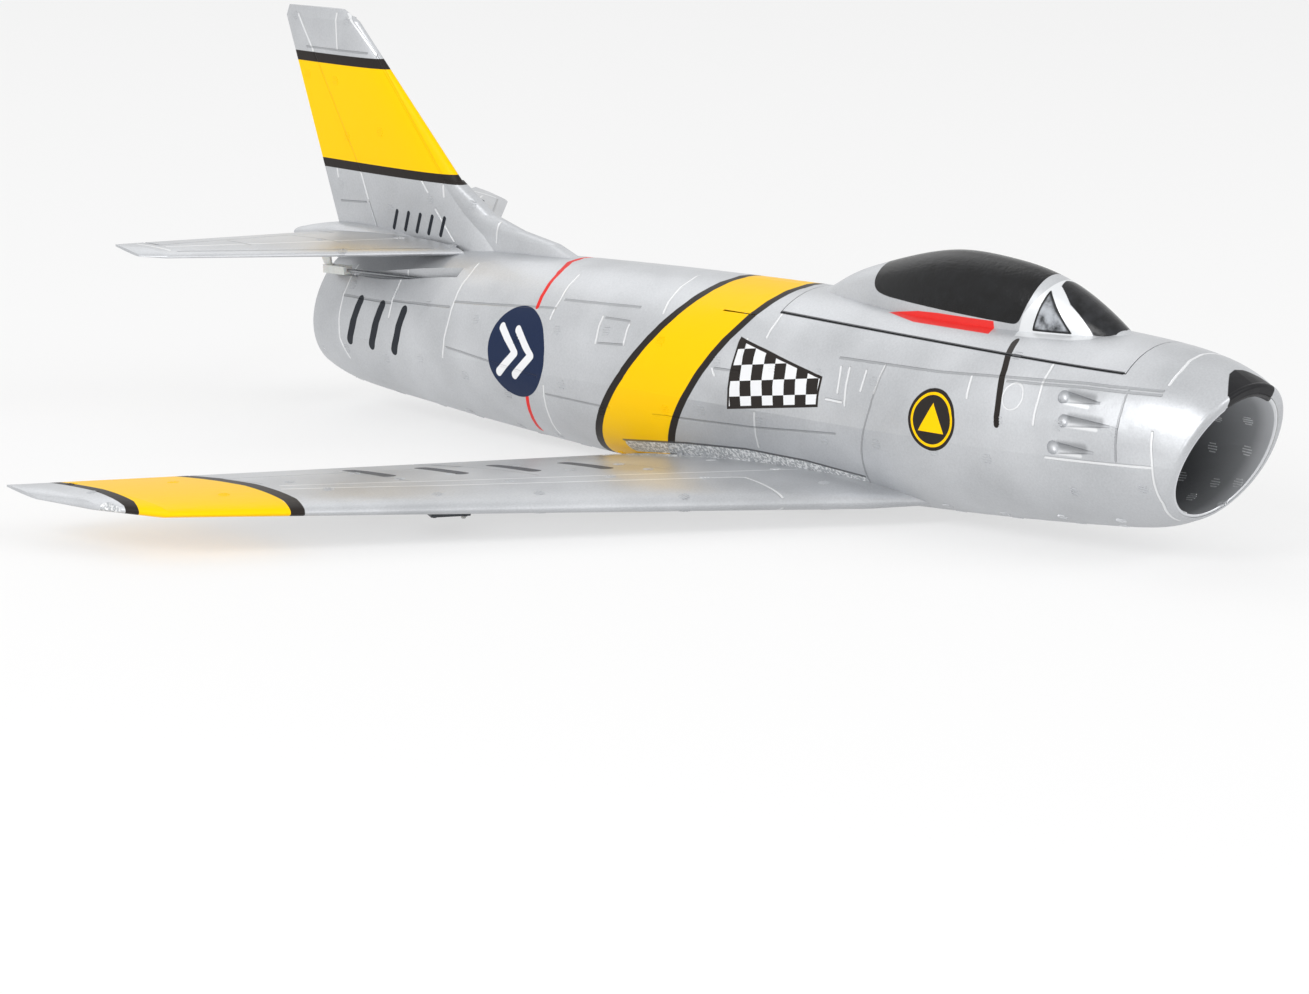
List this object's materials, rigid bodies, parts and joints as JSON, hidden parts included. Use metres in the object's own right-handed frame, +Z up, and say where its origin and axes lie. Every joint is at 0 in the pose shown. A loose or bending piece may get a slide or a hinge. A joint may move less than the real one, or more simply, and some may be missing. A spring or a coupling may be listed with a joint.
{
  "type": "rc jet plane",
  "caption": "Small foam radio-control jet with nose intake, ducted fan, bubble canopy hatch, swept wings with ailerons and a swept tail with linked elevators.",
  "frame": {"origin": "on the floor under the middle of the plane, which rests on its belly", "axes": "+Y towards the tail, +Z up, +X to the plane's left"},
  "size_m": [0.461, 0.475, 0.1501],
  "materials": {
    "foam_grey": "painted moulded foam, satin light grey",
    "duct_grey": "thin moulded liner, painted grey",
    "fan_black": "glass-filled moulding, black",
    "spinner_grey": "smooth moulding",
    "motor_metal": "machined can",
    "shaft_steel": "ground steel",
    "wire_steel": "music wire",
    "carbon_black": "pultruded carbon rod",
    "horn_white": "white nylon",
    "servo_case": "black moulded case",
    "servo_arm": "black nylon",
    "clevis_white": "white nylon",
    "sleeve_white": "extruded sleeve",
    "battery_wrap": "shrink-wrapped cells",
    "pad_foam": "hook-and-loop pad",
    "board_green": "soldered board",
    "magnet_nickel": "nickel-plated magnet"
  },
  "bodies": {
    "airframe": {"fuselage_left": "foam_grey", "fuselage_right": "foam_grey", "wing_left": "foam_grey", "wing_right": "foam_grey", "fin": "foam_grey", "stabilizer_left": "foam_grey", "stabilizer_right": "foam_grey", "intake_duct": "duct_grey", "tailpipe": "duct_grey", "fan_housing": "fan_black", "fan_motor": "motor_metal", "wing_spar": "carbon_black", "battery": "battery_wrap", "battery_pad": "pad_foam", "speed_controller": "board_green", "control_board": "board_green", "deck_magnet_front": "magnet_nickel", "deck_magnet_back": "magnet_nickel", "elevator_servo": "servo_case", "aileron_servo_left": "servo_case", "aileron_servo_right": "servo_case", "pushrod_sleeve": "sleeve_white"},
    "hatch": {"canopy_hatch": "foam_grey", "hatch_magnet_front": "magnet_nickel", "hatch_magnet_back": "magnet_nickel"},
    "fan": {"fan_rotor": "fan_black", "fan_spinner": "spinner_grey", "fan_shaft": "shaft_steel"},
    "left_aileron": {"aileron_left": "foam_grey", "aileron_horn_left": "horn_white"},
    "right_aileron": {"aileron_right": "foam_grey", "aileron_horn_right": "horn_white"},
    "left_aileron_arm": {"aileron_arm_left": "servo_arm"},
    "right_aileron_arm": {"aileron_arm_right": "servo_arm"},
    "left_aileron_link": {"aileron_link_left": "wire_steel"},
    "right_aileron_link": {"aileron_link_right": "wire_steel"},
    "right_elevator": {"elevator_right": "foam_grey", "elevator_horn": "horn_white"},
    "left_elevator": {"elevator_left": "foam_grey"},
    "joiner": {"elevator_joiner": "wire_steel"},
    "pushrod": {"elevator_pushrod": "wire_steel", "elevator_clevis": "clevis_white"},
    "elevator_arm": {"elevator_servo_arm": "servo_arm"}
  },
  "joints": [
    {"name": "hatch_lift", "type": "slide", "parent": "airframe", "child": "hatch", "axis": [0, 0, 1], "range_m": [0, 0.05]},
    {"name": "fan_spin", "type": "hinge", "parent": "airframe", "child": "fan", "pos_m": [0, 0.01625, 0.0325], "axis": [0, 1, 0], "continuous": true},
    {"name": "left_aileron_hinge", "type": "hinge", "parent": "airframe", "child": "left_aileron", "pos_m": [0.105, 0.03343, 0.01337], "axis": [0.8925, 0.4496, 0.0358], "range_deg": [-20, 20]},
    {"name": "right_aileron_hinge", "type": "hinge", "parent": "airframe", "child": "right_aileron", "pos_m": [-0.105, 0.03343, 0.01337], "axis": [0.8925, -0.4496, -0.0358], "range_deg": [-20, 20]},
    {"name": "left_arm_turn", "type": "hinge", "parent": "airframe", "child": "left_aileron_arm", "pos_m": [0.1186, 0.00669, 0.00997], "axis": [0.8925, 0.4496, 0.0358], "range_deg": [-20, 20]},
    {"name": "right_arm_turn", "type": "hinge", "parent": "airframe", "child": "right_aileron_arm", "pos_m": [-0.1186, 0.00669, 0.00997], "axis": [0.8925, -0.4496, -0.0358], "range_deg": [-20, 20]},
    {"name": "left_link_pivot", "type": "hinge", "parent": "left_aileron_arm", "child": "left_aileron_link", "pos_m": [0.1188, 0.00679, 0.00398], "axis": [0.8925, 0.4496, 0.0358], "range_deg": [-20, 20]},
    {"name": "right_link_pivot", "type": "hinge", "parent": "right_aileron_arm", "child": "right_aileron_link", "pos_m": [-0.1188, 0.00679, 0.00398], "axis": [0.8925, -0.4496, -0.0358], "range_deg": [-20, 20]},
    {"name": "right_elevator_hinge", "type": "hinge", "parent": "airframe", "child": "right_elevator", "pos_m": [-0.014, 0.1985, 0.0669], "axis": [0.941, -0.3382, -0.0162], "range_deg": [-15, 15]},
    {"name": "left_elevator_hinge", "type": "hinge", "parent": "airframe", "child": "left_elevator", "pos_m": [0.014, 0.1985, 0.0669], "axis": [0.941, 0.3382, 0.0162], "range_deg": [-15, 15]},
    {"name": "joiner_turn", "type": "hinge", "parent": "airframe", "child": "joiner", "pos_m": [0, 0.1985, 0.0669], "axis": [1, 0, 0], "range_deg": [-15, 15]},
    {"name": "pushrod_slide", "type": "slide", "parent": "airframe", "child": "pushrod", "axis": [0.1866, 0.982, -0.0305], "range_m": [-0.0033, 0.0033]},
    {"name": "elevator_arm_turn", "type": "hinge", "parent": "airframe", "child": "elevator_arm", "pos_m": [-0.0173, -0.0295, 0.053], "axis": [1, 0, 0], "range_deg": [-24, 24]}
  ],
  "couplings": [
    {"joint": "right_aileron_hinge", "follows": "left_aileron_hinge", "ratio": -1},
    {"joint": "left_arm_turn", "follows": "left_aileron_hinge", "ratio": 1},
    {"joint": "right_arm_turn", "follows": "left_aileron_hinge", "ratio": -1},
    {"joint": "left_link_pivot", "follows": "left_aileron_hinge", "ratio": -1},
    {"joint": "right_link_pivot", "follows": "left_aileron_hinge", "ratio": 1},
    {"joint": "left_elevator_hinge", "follows": "right_elevator_hinge", "ratio": 1},
    {"joint": "joiner_turn", "follows": "right_elevator_hinge", "ratio": 0.94},
    {"joint": "pushrod_slide", "follows": "right_elevator_hinge", "m_per_rad": 0.01237},
    {"joint": "elevator_arm_turn", "follows": "right_elevator_hinge", "ratio": -1.54}
  ]
}
